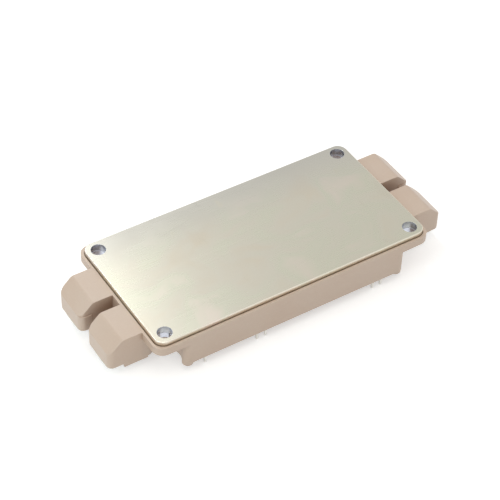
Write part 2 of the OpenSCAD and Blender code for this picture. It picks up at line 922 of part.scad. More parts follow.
function ntc_wire(steps, pad_side) =
    [[steps * pin_grid, -(pin_inner_w / 2 + pin_bond_inset), shelf_h + pin_t],
     [ceramic_pitch + ntc_x + pad_side * (ntc_pad_pitch / 2 + pad_bond_inset), -sense_y, track_face_h]];

function all_signal_wires() = [
    pin_wire(front_pin_steps[0], -1, gate_y),
    pin_wire(front_pin_steps[1], -1, sense_y),
    pin_wire(front_pin_steps[2], -1, gate_y),
    ntc_wire(front_pin_steps[3], -1),
    ntc_wire(front_pin_steps[4], 1),
    pin_wire(back_pin_steps[0], 1, gate_y),
    pin_wire(back_pin_steps[1], 1, sense_y),
    pin_wire(back_pin_steps[2], 1, plus_y[1] - pad_bond_inset),
    pin_wire(back_pin_steps[3], 1, gate_y),
    pin_wire(back_pin_steps[4], 1, sense_y),
    pin_wire(back_pin_steps[5], 1, gate_y)
];

module wires(list) {
    color(aluminium)
        for (w = list)
            wire(w[0], w[1]);
}

module gel() {
    color(clear_gel)
        difference() {
            between(plate_t, gel_h)
                cavity_shape(0);
            between(plate_t - over, seat_h)
                difference() {
                    square([frame_l, frame_w], center = true);
                    rounded(plate_l - 2 * seal_w, plate_w - 2 * seal_w, plate_r);
                }
            between(plate_t - over, gel_h + over)
                post_shapes(0);
            between(seat_h - over, shelf_h)
                pin_shelves();
            for (i = [1:3]) {
                between(plate_t - over, tracks_h)
                    on_substrate(i)
                        square([ceramic_l, ceramic_w], center = true);
                tracks(i);
            }
            for (i = [1:6]) {
                between(track_face_h - over / 2, chip_face_h) {
                    chip_shape(i, igbt_x, igbt_l);
                    chip_shape(i, diode_x, diode_l);
                }
            }
            thermistor();
            wire_pockets();
            for (t = terminals)
                terminal_strip(t, 0);
            for (x = front_pin_steps)
                pin(x, -1, 0);
            for (x = back_pin_steps)
                pin(x, 1, 0);
        }
}

mount_places = [for (x = [-1, 1], y = [-1, 1]) [x * mount_l / 2, y * mount_w / 2, 0]];
nut_places = [for (t = terminals) [t[0] * terminal_pitch / 2, t[1] * block_y, 0]];

baseplate();
housing();
lid();
seal();
gel();
for (i = [1:4])
    translate(mount_places[i - 1]) bush();
for (i = [1:4])
    translate(nut_places[i - 1]) terminal_nut();
terminal(0);  // terminal_dc_plus
terminal(1);  // terminal_dc_minus
terminal(2);  // terminal_ac_1
terminal(3);  // terminal_ac_2
for (i = [1:5])
    signal_pin(front_pin_steps[i - 1], -1);
for (i = [1:6])
    signal_pin(back_pin_steps[i - 1], 1);
for (i = [1:3])
    substrate_solder(i);
for (i = [1:3])
    back_copper(i);
for (i = [1:3])
    ceramic(i);
for (i = [1:3])
    tracks(i);
for (i = [1:6])
    igbt_chip(i);
for (i = [1:6])
    diode_chip(i);
chip_solder();
thermistor();
wires(all_chip_wires());  // chip_wires
wires(all_link_wires());  // link_wires
wires(all_signal_wires());  // signal_wires
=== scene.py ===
import json
import math
import bpy
import bmesh
from mathutils import Matrix, Quaternion, Vector
from mathutils.geometry import delaunay_2d_cdt


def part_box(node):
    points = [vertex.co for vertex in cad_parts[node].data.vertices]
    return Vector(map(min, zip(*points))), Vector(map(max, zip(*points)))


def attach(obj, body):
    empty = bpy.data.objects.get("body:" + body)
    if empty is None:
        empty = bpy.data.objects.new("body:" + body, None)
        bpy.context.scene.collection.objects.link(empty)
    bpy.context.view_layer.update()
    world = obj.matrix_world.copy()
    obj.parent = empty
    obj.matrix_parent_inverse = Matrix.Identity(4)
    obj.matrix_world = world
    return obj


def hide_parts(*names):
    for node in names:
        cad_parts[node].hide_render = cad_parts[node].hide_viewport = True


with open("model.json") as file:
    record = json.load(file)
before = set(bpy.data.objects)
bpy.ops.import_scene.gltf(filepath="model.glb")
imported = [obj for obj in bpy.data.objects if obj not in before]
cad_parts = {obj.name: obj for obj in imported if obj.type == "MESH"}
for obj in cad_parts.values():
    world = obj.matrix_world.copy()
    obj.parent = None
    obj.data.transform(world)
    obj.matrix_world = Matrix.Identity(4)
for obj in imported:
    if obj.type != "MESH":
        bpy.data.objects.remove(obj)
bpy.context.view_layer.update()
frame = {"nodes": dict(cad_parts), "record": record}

# Lengths below are in millimetres, and angles in degrees, where nothing else is said
MM = 0.001

CAMERA_AT = Vector((-271.93, -401.61, 484.61))
CAMERA_AIM = Vector((-5.34, -4.44, 20.50))
CAMERA_ROLL = 2.35
CAMERA_LENS = 125.72
CAMERA_SENSOR = 36
CAMERA_NEAR, CAMERA_FAR = 10, 50000

# Widths of the rounded edges
MOULDED_EDGE = 0.23
BLOCK_CREST = 0.90
PLATE_EDGE = 0.30
PLATE_HOLE_EDGE = 0.08
PUNCHED_EDGE = 0.12
STRIP_CORNER = 2.40
BUSH_EDGE = 0.20
NUT_EDGE = 0.25
LID_EDGE = 0.25

# Rows of faces on a rounded edge
FINE_ROWS = 2
PLATE_ROWS = 3
WIDE_ROWS = 4
FIELD_ROWS = 6

# An edge is rounded above one of the first three angles, and shaded sharp above the last
EDGE_ANGLE = 25
BENT_EDGE_ANGLE = 30
RIM_ANGLE = 60
SHARP_ANGLE = 35

# Slots of a piece's materials; the second is the lighter colour of rubbed edges, on the plate and housing
# partly a painted highlight
FACE, RUBBED_AND_HIGHLIT, BORE = 0, 1, 2

# Clean-up of a CAD mesh: points closer than this are one, and faces that bend less, in radians, are one
SAME_PLACE = 0.001
FLAT_BEND = 0.01

# Clean-up after the rounding: points closer than this are one, and faces lie in one plane if they keep
# within the slack of it and the cosine between them is larger than the last value
MERGED_PLACE = 0.002
FLAT_SLACK = 0.002
SAME_WAY = 0.999

# Triangulation: the kind of output that keeps only what lies inside edges, and its slack
KEEP_INSIDE = 1
TILE_SLACK = 0.0001

# A point closer than this to a plane or a circle lies on it, loosely or exactly
ON = 0.05
EXACTLY_ON = 0.01

# A face stands upright if its normal leans less than this out of the level
UPRIGHT = 0.5

# Sloping ends of the terminal blocks
SLOPE_LENGTH = 5.6
SLOPE_FOOT_Z = 13.2

# Where the lip beside a slot runs out: middle and half height above the slope's foot, depth and half width
LIP_END_RISE = 0.2
LIP_END_HALF_H = 0.4
LIP_END_DEPTH = 1.0
LIP_END_HALF_W = 5.6

# Screw posts of the housing, and the seam where they leave the wall
POST_X = 47.25
POST_Y = 28.5
POST_R = 2.25
POST_FOOT_Z = 5.0
POST_SEAM = 0.4
POST_SEAM_HALF_H = 0.1

# Room around the lid that hides the housing's inner edges, and reach of the groove around the plate
CAVITY_MARGIN = 0.3
CAVITY_TOP = 0.5
GROOVE_REACH = 0.5

# Shares of the plate's half length and half width beyond which an edge belongs to its outline
OUTLINE_X = 0.97
OUTLINE_Y = 0.95

# Thread in the nuts
NUT_CORE_R = 2.5
THREAD_PITCH = 1.0
THREAD_DEPTH = 0.5
RINGS_PER_TURN = 8

# Steel bushes, rolled from sheet and closed to a narrow seam
BUSH_BORE_R = 2.75
BUSH_SEAM_ANGLE = math.radians(6)
BUSH_STEPS = 64

# Marks of the mould on the lid, cut by tools that start outside its face
EJECTOR_R = 2.0
EJECTOR_DEPTH = 0.12
EJECTOR_PLACES = [(x, y) for x in (-38, 0, 38) for y in (-19, 19)]
EJECTOR_STEPS = 40
FIELD_L, FIELD_W = 62, 26
FIELD_R = 2.0
FIELD_DEPTH = 0.15
TOOL_START = 1


def box_mm(node):
    low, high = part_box(node)
    return low / MM, high / MM


HOUSING_HIGH = box_mm("housing")[1]
PLATE_LOW, PLATE_HIGH = box_mm("baseplate")
LID_LOW, LID_HIGH = box_mm("lid")


# Node trees

# Sockets of a Mix node that mixes colours
MIX_FACTOR, MIX_FIRST, MIX_SECOND, MIX_RESULT = 0, 6, 7, 2


def add(tree, kind, links=None, **settings):
    """A node. Settings are its own properties, and links give its inputs a value or another node's output."""
    made = tree.nodes.new("ShaderNode" + kind)
    for key, value in settings.items():
        setattr(made, key, value)
    for key, value in (links or {}).items():
        if isinstance(value, bpy.types.NodeSocket):
            tree.links.new(value, made.inputs[key])
        else:
            made.inputs[key].default_value = value
    return made


def rgb(colour):
    return (*colour, 1.0)


def tinted(colour, by):
    """The colour with each channel multiplied by its own share."""
    return tuple(one * other for one, other in zip(colour, by))


def place_of(tree, stretch=(1, 1, 1)):
    """Places on the object in metres, stretched along each axis."""
    coordinates = add(tree, "TexCoord").outputs["Object"]
    return add(tree, "Mapping", {"Vector": coordinates, "Scale": stretch}).outputs["Vector"]


def noise(tree, scale, detail=2.0, stretch=(1, 1, 1), distortion=0.0):
    made = add(tree, "TexNoise", {"Vector": place_of(tree, stretch), "Scale": scale, "Detail": detail,
                                  "Distortion": distortion})
    return made.outputs["Fac"]


def ramp(tree, factor, stops):
    """Colour ramp through (position, colour) stops."""
    made = add(tree, "ValToRGB", {"Fac": factor})
    bar = made.color_ramp
    while len(bar.elements) < len(stops):
        bar.elements.new(0.5)
    for element, (position, colour) in zip(bar.elements, stops):
        element.position = position
        element.color = rgb(colour)
    return made.outputs["Color"]


def tint_ramp(tree, factor, colour, stops):
    """Colour ramp of one colour, through (position, share of each channel) stops."""
    return ramp(tree, factor, [(position, tinted(colour, shares)) for position, shares in stops])


def spread(tree, factor, low, high, start=0.0, end=1.0):
    """A number that goes from low to high as the factor goes from start to end."""
    made = add(tree, "MapRange", {"Value": factor, "From Min": start, "From Max": end,
                                  "To Min": low, "To Max": high})
    return made.outputs["Result"]


def vary(tree, clouds, low, high):
    """A number between low and high that follows a noise, which mostly lies between 0.3 and 0.7."""
    return spread(tree, clouds, low, high, 0.3, 0.7)


def mask(tree, factor, start, end, most=1.0):
    """Nothing below start, rising to most at end."""
    return spread(tree, factor, 0.0, most, start, end)


def blend(tree, factor, first, second):
    """The first colour where the factor is 0, and the second where it is 1."""
    colours = [value if isinstance(value, bpy.types.NodeSocket) else rgb(value) for value in (first, second)]
    links = {MIX_FACTOR: factor, MIX_FIRST: colours[0], MIX_SECOND: colours[1]}
    return add(tree, "Mix", links, data_type="RGBA").outputs[MIX_RESULT]


def calc(tree, operation, first, second):
    return add(tree, "Math", {0: first, 1: second}, operation=operation).outputs[0]


def bump(tree, height, depth, strength, under=None):
    """Bumps of a depth in millimetres, on top of those under them."""
    links = {"Height": height, "Distance": depth * MM, "Strength": strength}
    if under is not None:
        links["Normal"] = under
    return add(tree, "Bump", links).outputs["Normal"]


def material(name, paint, **sockets):
    """A Principled material. paint(tree) returns the inputs that vary over the surface."""
    made = bpy.data.materials.new(name)
    made.use_nodes = True
    tree = made.node_tree
    shader = tree.nodes["Principled BSDF"]
    for key, value in sockets.items():
        shader.inputs[key.replace("_", " ")].default_value = value
    for key, value in paint(tree).items():
        tree.links.new(value, shader.inputs[key])
    return made


# Colours, and shares of a colour

NICKEL = (0.532, 0.503, 0.424)
# Lighter nickel of the plate's rim and side walls, partly rubbed and partly a painted highlight
NICKEL_RUBBED_AND_HIGHLIT = (0.750, 0.690, 0.600)
NICKEL_BORE = (0.500, 0.510, 0.530)
NICKEL_CLOUDS = ((0.32, (1.02, 0.99, 0.96)), (0.45, (1.0, 1.0, 1.0)),
                 (0.56, (0.96, 1.0, 0.97)), (0.70, (1.04, 1.0, 1.02)))
TARNISHED = (0.96, 0.97, 0.90)
# Painted shade at the back of the plate
PAINTED_SHADE_BACK = (0.89, 0.91, 0.96)
SMUDGED = (0.90, 0.89, 0.86)
LINED = (0.7, 0.7, 0.7)

TAN = (0.620, 0.485, 0.385)
TAN_CLOUDS = ((0.30, (0.97, 0.95, 0.94)), (0.50, (1.0, 1.0, 1.0)), (0.68, (1.02, 1.04, 1.06)))
TAN_FIBRE = (0.70, 0.60, 0.51)
TAN_SPECK = (0.42, 0.31, 0.24)
# Paler tan of rubbed edges, partly wear and partly a painted highlight
TAN_RUBBED_AND_HIGHLIT = (0.70, 0.58, 0.48)
# Painted shade: a darker, more saturated tan for creases
TAN_PAINTED_SHADE = (0.300, 0.170, 0.105)

STEEL_CLOUDS = ((0.32, (0.86, 0.86, 0.86)), (0.55, (1.0, 1.0, 1.0)), (0.72, (1.12, 1.12, 1.12)))
BUSH_FACE = (0.66, 0.69, 0.78)
BUSH_RUBBED = (0.72, 0.74, 0.80)
NUT_FACE = (0.60, 0.61, 0.62)
NUT_RUBBED = (0.70, 0.70, 0.70)

TIN = ((0.32, (0.66, 0.65, 0.61)), (0.52, (0.74, 0.735, 0.70)), (0.70, (0.79, 0.785, 0.755)))
TIN_WORN = (0.76, 0.56, 0.42)
COPPER = ((0.30, (0.62, 0.33, 0.20)), (0.52, (0.82, 0.50, 0.36)), (0.72, (0.88, 0.60, 0.45)))
SOLDER = ((0.35, (0.50, 0.50, 0.52)), (0.65, (0.72, 0.72, 0.72)))
ALUMINIUM = ((0.35, (0.74, 0.75, 0.77)), (0.65, (0.86, 0.87, 0.88)))

CERAMIC_CLOUDS = ((0.35, (0.94, 0.94, 0.94)), (0.65, (1.0, 1.0, 1.0)))
ALUMINA = (0.90, 0.89, 0.85)
THERMISTOR = (0.42, 0.40, 0.38)
SILICON = (0.10, 0.11, 0.14)
CHIP_METAL = (0.55, 0.56, 0.60)
CHIP_HAZE = (0.40, 0.38, 0.48)

BEAD = ((0.32, (0.260, 0.205, 0.150)), (0.68, (0.400, 0.335, 0.260)))
GEL = ((0.4, (0.93, 0.95, 0.96)), (0.6, (0.97, 0.98, 0.98)))

# Along Y in metres, the painted shade in a band at the back of the plate starts and is full, and its edge
# wavers
SHADE_BAND_START, SHADE_BAND_FULL, SHADE_BAND_WAVER = 0.008, 0.026, 0.006

# Reach of the painted shade in creases, and how open a place is where it is full and where it ends
CREASE_SHADE_REACH = 9.0
CREASE_SHADE_FULL, CREASE_SHADE_END = 0.15, 0.75
CREASE_SHADE_MOST = 0.85
CREASE_SHADE_SAMPLES = 8


# Materials

def nickel(name, tint, dull):
    """Satin nickel plating on rolled copper: faint warm and olive clouds, painted shade towards the back,
    lines, grain and hairlines.
    """
    def paint(tree):
        clouds = noise(tree, scale=42, detail=3.0, stretch=(1.0, 1.3, 1.0), distortion=0.6)
        colour = tint_ramp(tree, clouds, tint, NICKEL_CLOUDS)
        tarnish = noise(tree, scale=11, stretch=(1.4, 1.0, 1.0))
        colour = blend(tree, mask(tree, tarnish, 0.45, 0.75, 0.5), colour, tinted(tint, TARNISHED))
        # Painted shade: darker and cooler towards the back of the plate
        across = add(tree, "SeparateXYZ", {0: place_of(tree)}).outputs["Y"]
        wavering = calc(tree, "ADD", across, spread(tree, tarnish, -SHADE_BAND_WAVER, SHADE_BAND_WAVER))
        colour = blend(tree, mask(tree, wavering, SHADE_BAND_START, SHADE_BAND_FULL), colour, tinted(tint, PAINTED_SHADE_BACK))
        smudges = noise(tree, scale=75, detail=1.0, stretch=(1.0, 0.6, 1.0), distortion=1.2)
        smudge = mask(tree, smudges, 0.64, 0.72)
        colour = blend(tree, calc(tree, "MULTIPLY", smudge, 0.4), colour, tinted(tint, SMUDGED))
        lines = noise(tree, scale=900, stretch=(0.02, 1.0, 1.0))
        colour = blend(tree, mask(tree, lines, 0.4, 0.7, 0.025), colour, tinted(tint, LINED))
        cracks = add(tree, "TexVoronoi", {"Vector": place_of(tree, (0.35, 1.6, 1.0)), "Scale": 90,
                                          "Randomness": 1.0}, feature="DISTANCE_TO_EDGE").outputs["Distance"]
        hairline = spread(tree, cracks, 1.0, 0.0, 0.0, 0.012)
        scratch = calc(tree, "MULTIPLY", hairline, mask(tree, noise(tree, scale=55, detail=1.0), 0.58, 0.68))
        rough = vary(tree, clouds, dull - 0.02, dull + 0.02)
        rough = calc(tree, "ADD", rough, vary(tree, lines, -0.008, 0.008))
        rough = calc(tree, "ADD", rough, calc(tree, "MULTIPLY", smudge, 0.02))
        rough = calc(tree, "SUBTRACT", rough, calc(tree, "MULTIPLY", scratch, 0.05))
        grain = noise(tree, scale=5200, detail=3.0)
        normal = bump(tree, grain, depth=0.03, strength=0.05)
        normal = bump(tree, lines, depth=0.03, strength=0.008, under=normal)
        normal = bump(tree, scratch, depth=-0.03, strength=0.12, under=normal)
        return {"Base Color": colour, "Roughness": rough, "Normal": normal}
    return material(name, paint, Metallic=1.0)


def moulded(name, worn):
    """Tan glass-filled polyester: mottled colour, painted shade in creases, sparked texture, fibres and paler
    rubbed edges, partly a painted highlight.
    """
    def paint(tree):
        clouds = noise(tree, scale=38, detail=4.0, distortion=0.4)
        colour = tint_ramp(tree, clouds, TAN, TAN_CLOUDS)
        fibres = noise(tree, scale=1500, stretch=(0.35, 1.0, 1.0))
        colour = blend(tree, mask(tree, fibres, 0.52, 0.75, 0.18), colour, TAN_FIBRE)
        # Painted shade: the colour turns to a darker tan where ambient occlusion finds a crease
        openness = add(tree, "AmbientOcclusion", {"Distance": CREASE_SHADE_REACH * MM}, only_local=True,
                       samples=CREASE_SHADE_SAMPLES).outputs["AO"]
        crease_shade = spread(tree, openness, CREASE_SHADE_MOST, 0.0, CREASE_SHADE_FULL, CREASE_SHADE_END)
        colour = blend(tree, crease_shade, colour, TAN_PAINTED_SHADE)
        specks = noise(tree, scale=2600, detail=1.0)
        colour = blend(tree, mask(tree, specks, 0.66, 0.78, 0.22), colour, TAN_SPECK)
        rough = vary(tree, clouds, 0.36, 0.44)
        # Rubbed edges get patches of paler tan, partly wear and partly a painted highlight
        if worn:
            rub_highlight_mask = spread(tree, noise(tree, scale=160, detail=3.0), 0.10, 0.50, 0.35, 0.65)
            colour = blend(tree, rub_highlight_mask, colour, TAN_RUBBED_AND_HIGHLIT)
            rough = calc(tree, "SUBTRACT", rough, 0.05)
        sparked, waves = noise(tree, scale=2400, detail=3.0), noise(tree, scale=120)
        normal = bump(tree, sparked, depth=0.06, strength=0.35)
        normal = bump(tree, waves, depth=0.10, strength=0.12, under=normal)
        return {"Base Color": colour, "Roughness": rough, "Normal": normal}
    return material(name, paint, IOR=1.56)


def turned_steel(name, colour, dull):
    """Zinc-plated steel with turned rings along Z and blotches of passivation."""
    def paint(tree):
        clouds = noise(tree, scale=420, detail=3.0)
        rings = noise(tree, scale=3500, stretch=(0.04, 0.04, 1.0))
        rough = vary(tree, clouds, dull - 0.06, dull + 0.06)
        rough = calc(tree, "ADD", rough, vary(tree, rings, -0.04, 0.04))
        return {"Base Color": tint_ramp(tree, clouds, colour, STEEL_CLOUDS), "Roughness": rough,
                "Normal": bump(tree, rings, depth=0.03, strength=0.4)}
    return material(name, paint, Metallic=1.0)


def tin(name, worn):
    """Matt tin on punched copper, with a breath of copper at the rubbed edges."""
    def paint(tree):
        clouds = noise(tree, scale=300, detail=3.0)
        colour = ramp(tree, clouds, TIN)
        drawn = noise(tree, scale=2600, stretch=(1.0, 1.0, 0.05))
        if worn:
            colour = blend(tree, mask(tree, noise(tree, scale=900), 0.45, 0.70, 0.45), colour, TIN_WORN)
        rough = calc(tree, "ADD", vary(tree, clouds, 0.30, 0.44), vary(tree, drawn, -0.04, 0.04))
        return {"Base Color": colour, "Roughness": rough,
                "Normal": bump(tree, drawn, depth=0.03, strength=0.3)}
    return material(name, paint, Metallic=1.0)


def bonded_copper(name):
    """Bare copper layer with etched grain and brown oxide."""
    def paint(tree):
        clouds = noise(tree, scale=130, detail=4.0)
        grains = add(tree, "TexVoronoi", {"Vector": place_of(tree), "Scale": 900}).outputs["Distance"]
        return {"Base Color": ramp(tree, clouds, COPPER), "Roughness": vary(tree, clouds, 0.30, 0.50),
                "Normal": bump(tree, grains, depth=0.04, strength=0.25)}
    return material(name, paint, Metallic=1.0)


def soft_solder(name):
    """Grey solder with a frozen, slightly rippled skin."""
    def paint(tree):
        ripples = noise(tree, scale=700, detail=3.0, distortion=1.5)
        return {"Base Color": ramp(tree, ripples, SOLDER), "Roughness": vary(tree, ripples, 0.22, 0.42),
                "Normal": bump(tree, ripples, depth=0.08, strength=0.5)}
    return material(name, paint, Metallic=1.0)


def fired_ceramic(name, colour):
    """Fired ceramic with a fine grain and faint flow clouds."""
    def paint(tree):
        clouds = noise(tree, scale=90, detail=3.0)
        grain = noise(tree, scale=3000)
        return {"Base Color": tint_ramp(tree, clouds, colour, CERAMIC_CLOUDS),
                "Roughness": vary(tree, grain, 0.42, 0.58),
                "Normal": bump(tree, grain, depth=0.03, strength=0.3)}
    return material(name, paint)


def metallised_silicon(name):
    """Chip face of thin aluminium over rows of cells, with the dark silicon between them."""
    def paint(tree):
        cells = add(tree, "TexWave", {"Vector": place_of(tree), "Scale": 320, "Distortion": 0.0},
                    bands_direction="X").outputs["Fac"]
        clouds = noise(tree, scale=200)
        colour = blend(tree, mask(tree, cells, 0.1, 0.3), SILICON, CHIP_METAL)
        colour = blend(tree, mask(tree, clouds, 0.4, 0.7, 0.4), colour, CHIP_HAZE)
        return {"Base Color": colour, "Roughness": vary(tree, clouds, 0.22, 0.38),
                "Normal": bump(tree, cells, depth=0.02, strength=0.3)}
    return material(name, paint, Metallic=0.8)


def drawn_aluminium(name):
    """Drawn aluminium wire, slightly matt where the tool pressed it."""
    def paint(tree):
        drawn = noise(tree, scale=2200)
        return {"Base Color": ramp(tree, drawn, ALUMINIUM), "Roughness": vary(tree, drawn, 0.24, 0.40),
                "Normal": bump(tree, drawn, depth=0.03, strength=0.3)}
    return material(name, paint, Metallic=1.0)


def silicone_bead(name):
    """Cured brown adhesive with an uneven, slightly glossy skin."""
    def paint(tree):
        lumps = noise(tree, scale=420, detail=3.0, distortion=0.8)
        return {"Base Color": ramp(tree, lumps, BEAD), "Roughness": vary(tree, lumps, 0.38, 0.55),
                "Normal": bump(tree, lumps, depth=0.25, strength=0.8)}
    return material(name, paint)


def clear_gel(name):
    """Soft clear gel with slow waves on its skin."""
    def paint(tree):
        waves = noise(tree, scale=60)
        return {"Base Color": ramp(tree, waves, GEL), "Roughness": vary(tree, waves, 0.06, 0.14),
                "Normal": bump(tree, waves, depth=0.4, strength=0.4)}
    return material(name, paint, IOR=1.41, Transmission_Weight=1.0)


MATERIALS = {
    "nickel_plate": (nickel("plate_face", NICKEL, 0.27), nickel("plate_rubbed_highlit", NICKEL_RUBBED_AND_HIGHLIT, 0.30),
                     nickel("plate_bore", NICKEL_BORE, 0.34)),
    "tan_plastic": (moulded("moulded_face", False), moulded("moulded_rubbed_highlit", True)),
    "silicone_seal": (silicone_bead("seal_bead"),),
    "silicone_gel": (clear_gel("gel_body"),),
    "bush_steel": (turned_steel("bush_face", BUSH_FACE, 0.34),
                   turned_steel("bush_rubbed", BUSH_RUBBED, 0.30)),
    "nut_steel": (turned_steel("nut_face", NUT_FACE, 0.34),
                  turned_steel("nut_rubbed", NUT_RUBBED, 0.28)),
    "tinned_copper": (tin("strip_face", False), tin("strip_rubbed", True)),
    "tinned_pin": (tin("pin_face", False), tin("pin_rubbed", True)),
    "solder": (soft_solder("solder_skin"),),
    "copper": (bonded_copper("copper_layer"),),
    "white_ceramic": (fired_ceramic("alumina_plate", ALUMINA),),
    "silicon": (metallised_silicon("chip_face"),),
    "thermistor_ceramic": (fired_ceramic("thermistor_body", THERMISTOR),),
    "aluminium_wire": (drawn_aluminium("wire_skin"),),
}
SLOT_OF = {part["node"]: part["material_slot"] for part in frame["record"]["subparts"]}


# Shapes

def new_object(name, data):
    """An object in the scene."""
    made = bpy.data.objects.new(name, data)
    bpy.context.scene.collection.objects.link(made)
    return made


def welded(node):
    """The node's mesh as a bmesh of plain faces, without the triangles inside flat areas."""
    made = bmesh.new()
    made.from_mesh(frame["nodes"][node].data)
    bmesh.ops.remove_doubles(made, verts=made.verts, dist=SAME_PLACE * MM)
    bmesh.ops.dissolve_limit(made, angle_limit=FLAT_BEND, verts=made.verts, edges=made.edges)
    made.normal_update()
    return made


def middle_mm(edge):
    return (edge.verts[0].co + edge.verts[1].co) / 2 / MM


def rise_mm(edge):
    """Height between the ends of an edge."""
    return abs(edge.verts[0].co.z - edge.verts[1].co.z) / MM


def is_upright(face):
    return abs(face.normal.z) < UPRIGHT


def corners(made, least_angle=EDGE_ANGLE):
    """Edges that stand out, where a mould or a tool leaves a small radius."""
    return [e for e in made.edges
            if e.is_manifold and e.is_convex and e.calc_face_angle() > math.radians(least_angle)]


def round_off(made, edges, width, rows=FINE_ROWS, slot=RUBBED_AND_HIGHLIT):
    """Rounds the edges, and gives the new faces the material of the slot."""
    result = bmesh.ops.bevel(made, geom=edges, offset=width * MM, offset_type="OFFSET", segments=rows,
                             profile=0.5, affect="EDGES", clamp_overlap=False)
    for face in result["faces"]:
        face.material_index = slot


def flat_regions(made):
    """Groups of neighbouring faces that lie in one plane."""
    made.normal_update()
    made.faces.index_update()
    seen = set()
    for start in made.faces:
        if start.index in seen:
            continue
        seen.add(start.index)
        region, height = [start], start.verts[0].co.dot(start.normal)
        for face in region:
            for other in [f for e in face.edges for f in e.link_faces]:
                level = all(abs(v.co.dot(start.normal) - height) < FLAT_SLACK * MM for v in other.verts)
                if level and other.normal.dot(start.normal) > SAME_WAY and other.index not in seen:
                    seen.add(other.index)
                    region.append(other)
        yield region


def is_inside(place, outline):
    """True if a ray from the place crosses the outline, given as pairs of points, an odd number of times."""
    crossed = [(a, b) for a, b in outline if (a.y > place.y) != (b.y > place.y)
               and place.x < a.x + (b.x - a.x) * (place.y - a.y) / (b.y - a.y)]
    return len(crossed) % 2 == 1


def main_slot(region):
    """The slot that covers most of a region, since the order of its faces changes from run to run."""
    slots = sorted({face.material_index for face in region})
    return max(slots, key=lambda slot: sum(f.calc_area() for f in region if f.material_index == slot))


def retile(made, region):
    """Fills a flat region with fresh triangles between its outlines, since rounding can fold its faces."""
    inside, normal, slot = set(region), region[0].normal.copy(), main_slot(region)
    edges = dict.fromkeys(edge for face in region for edge in face.edges)
    rim = [edge for edge in edges if sum(face in inside for face in edge.link_faces) == 1]
    verts = list(dict.fromkeys(vert for edge in rim for vert in edge.verts))
    index = {vert: number for number, vert in enumerate(verts)}
    along = normal.orthogonal().normalized()
    across = normal.cross(along)
    flat = [Vector((vert.co.dot(along), vert.co.dot(across))) / MM for vert in verts]
    links = [[index[vert] for vert in edge.verts] for edge in rim]
    outline = [(flat[one], flat[other]) for one, other in links]
    places, _, tiles, sources = delaunay_2d_cdt(flat, links, [], KEEP_INSIDE, TILE_SLACK)[:4]
    bmesh.ops.delete(made, geom=region, context="FACES_KEEP_BOUNDARY")
    for tile in tiles:
        if is_inside(sum((places[k] for k in tile), Vector((0, 0))) / 3, outline):
            made.faces.new([verts[sources[k][0]] for k in tile]).material_index = slot


def retile_flats(made):
    bmesh.ops.remove_doubles(made, verts=made.verts, dist=MERGED_PLACE * MM)
    for region in [r for r in flat_regions(made) if len(r) > 1 or len(r[0].verts) > 4]:
        retile(made, region)
    bmesh.ops.recalc_face_normals(made, faces=made.faces)


def finish_piece(made, name, node):
    """Turns the bmesh into the piece that stands for a CAD node, with smooth rounded edges."""
    for face in made.faces:
        face.smooth = True
    for edge in made.edges:
        if edge.is_manifold:
            edge.smooth = edge.calc_face_angle() < math.radians(SHARP_ANGLE)
    mesh = bpy.data.meshes.new(name)
    made.to_mesh(mesh)
    made.free()
    piece = new_object(name, mesh)
    for one in MATERIALS[SLOT_OF[node]]:
        mesh.materials.append(one)
    piece.modifiers.new("weighted_normals", "WEIGHTED_NORMAL").keep_sharp = True
    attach(piece, "root")
    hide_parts(node)


def in_cavity(place):
    """True inside the housing, where nobody sees the edges."""
    between = LID_LOW.z < place.z < PLATE_LOW.z + CAVITY_TOP
    return (between and abs(place.x) < LID_HIGH.x + CAVITY_MARGIN
            and abs(place.y) < LID_HIGH.y + CAVITY_MARGIN)


def at_lip_end(place):
    """True where the lip beside a slot runs out to nothing on the rounded corner of its block."""
    near_foot = abs(place.z - SLOPE_FOOT_Z - LIP_END_RISE) < LIP_END_HALF_H
    return near_foot and abs(place.x) > HOUSING_HIGH.x - LIP_END_DEPTH and abs(place.y) < LIP_END_HALF_W


def at_post_seam(place):
    """True at the foot of a screw post, whose round side nearly meets the faces of the wall."""
    reach = math.hypot(abs(place.x) - POST_X, abs(place.y) - POST_Y)
    return reach < POST_R + POST_SEAM and abs(place.z - POST_FOOT_Z) < POST_SEAM_HALF_H


def on_top(place):
    return abs(place.z - HOUSING_HIGH.z) < ON


def at_groove(place):
    """True on the mouth of the groove around the plate, which the mould leaves sharp."""
    return (on_top(place) and abs(place.x) < PLATE_HIGH.x + GROOVE_REACH
            and abs(place.y) < PLATE_HIGH.y + GROOVE_REACH)


def is_crest(place):
    """True on the edge between the top of a terminal block and its slope."""
    return on_top(place) and abs(abs(place.x) - HOUSING_HIGH.x + SLOPE_LENGTH) < ON


def make_housing():
    """The moulded housing, with a soft crest along the slopes of its blocks."""
    made = welded("housing")
    round_off(made, [e for e in corners(made) if is_crest(middle_mm(e))], BLOCK_CREST, WIDE_ROWS, FACE)
    places = [(e, middle_mm(e)) for e in corners(made, BENT_EDGE_ANGLE)]
    edges = [e for e, p in places if not (in_cavity(p) or at_lip_end(p) or at_post_seam(p) or at_groove(p))]
    round_off(made, edges, MOULDED_EDGE)
    retile_flats(made)
    finish_piece(made, "housing_moulding", "housing")


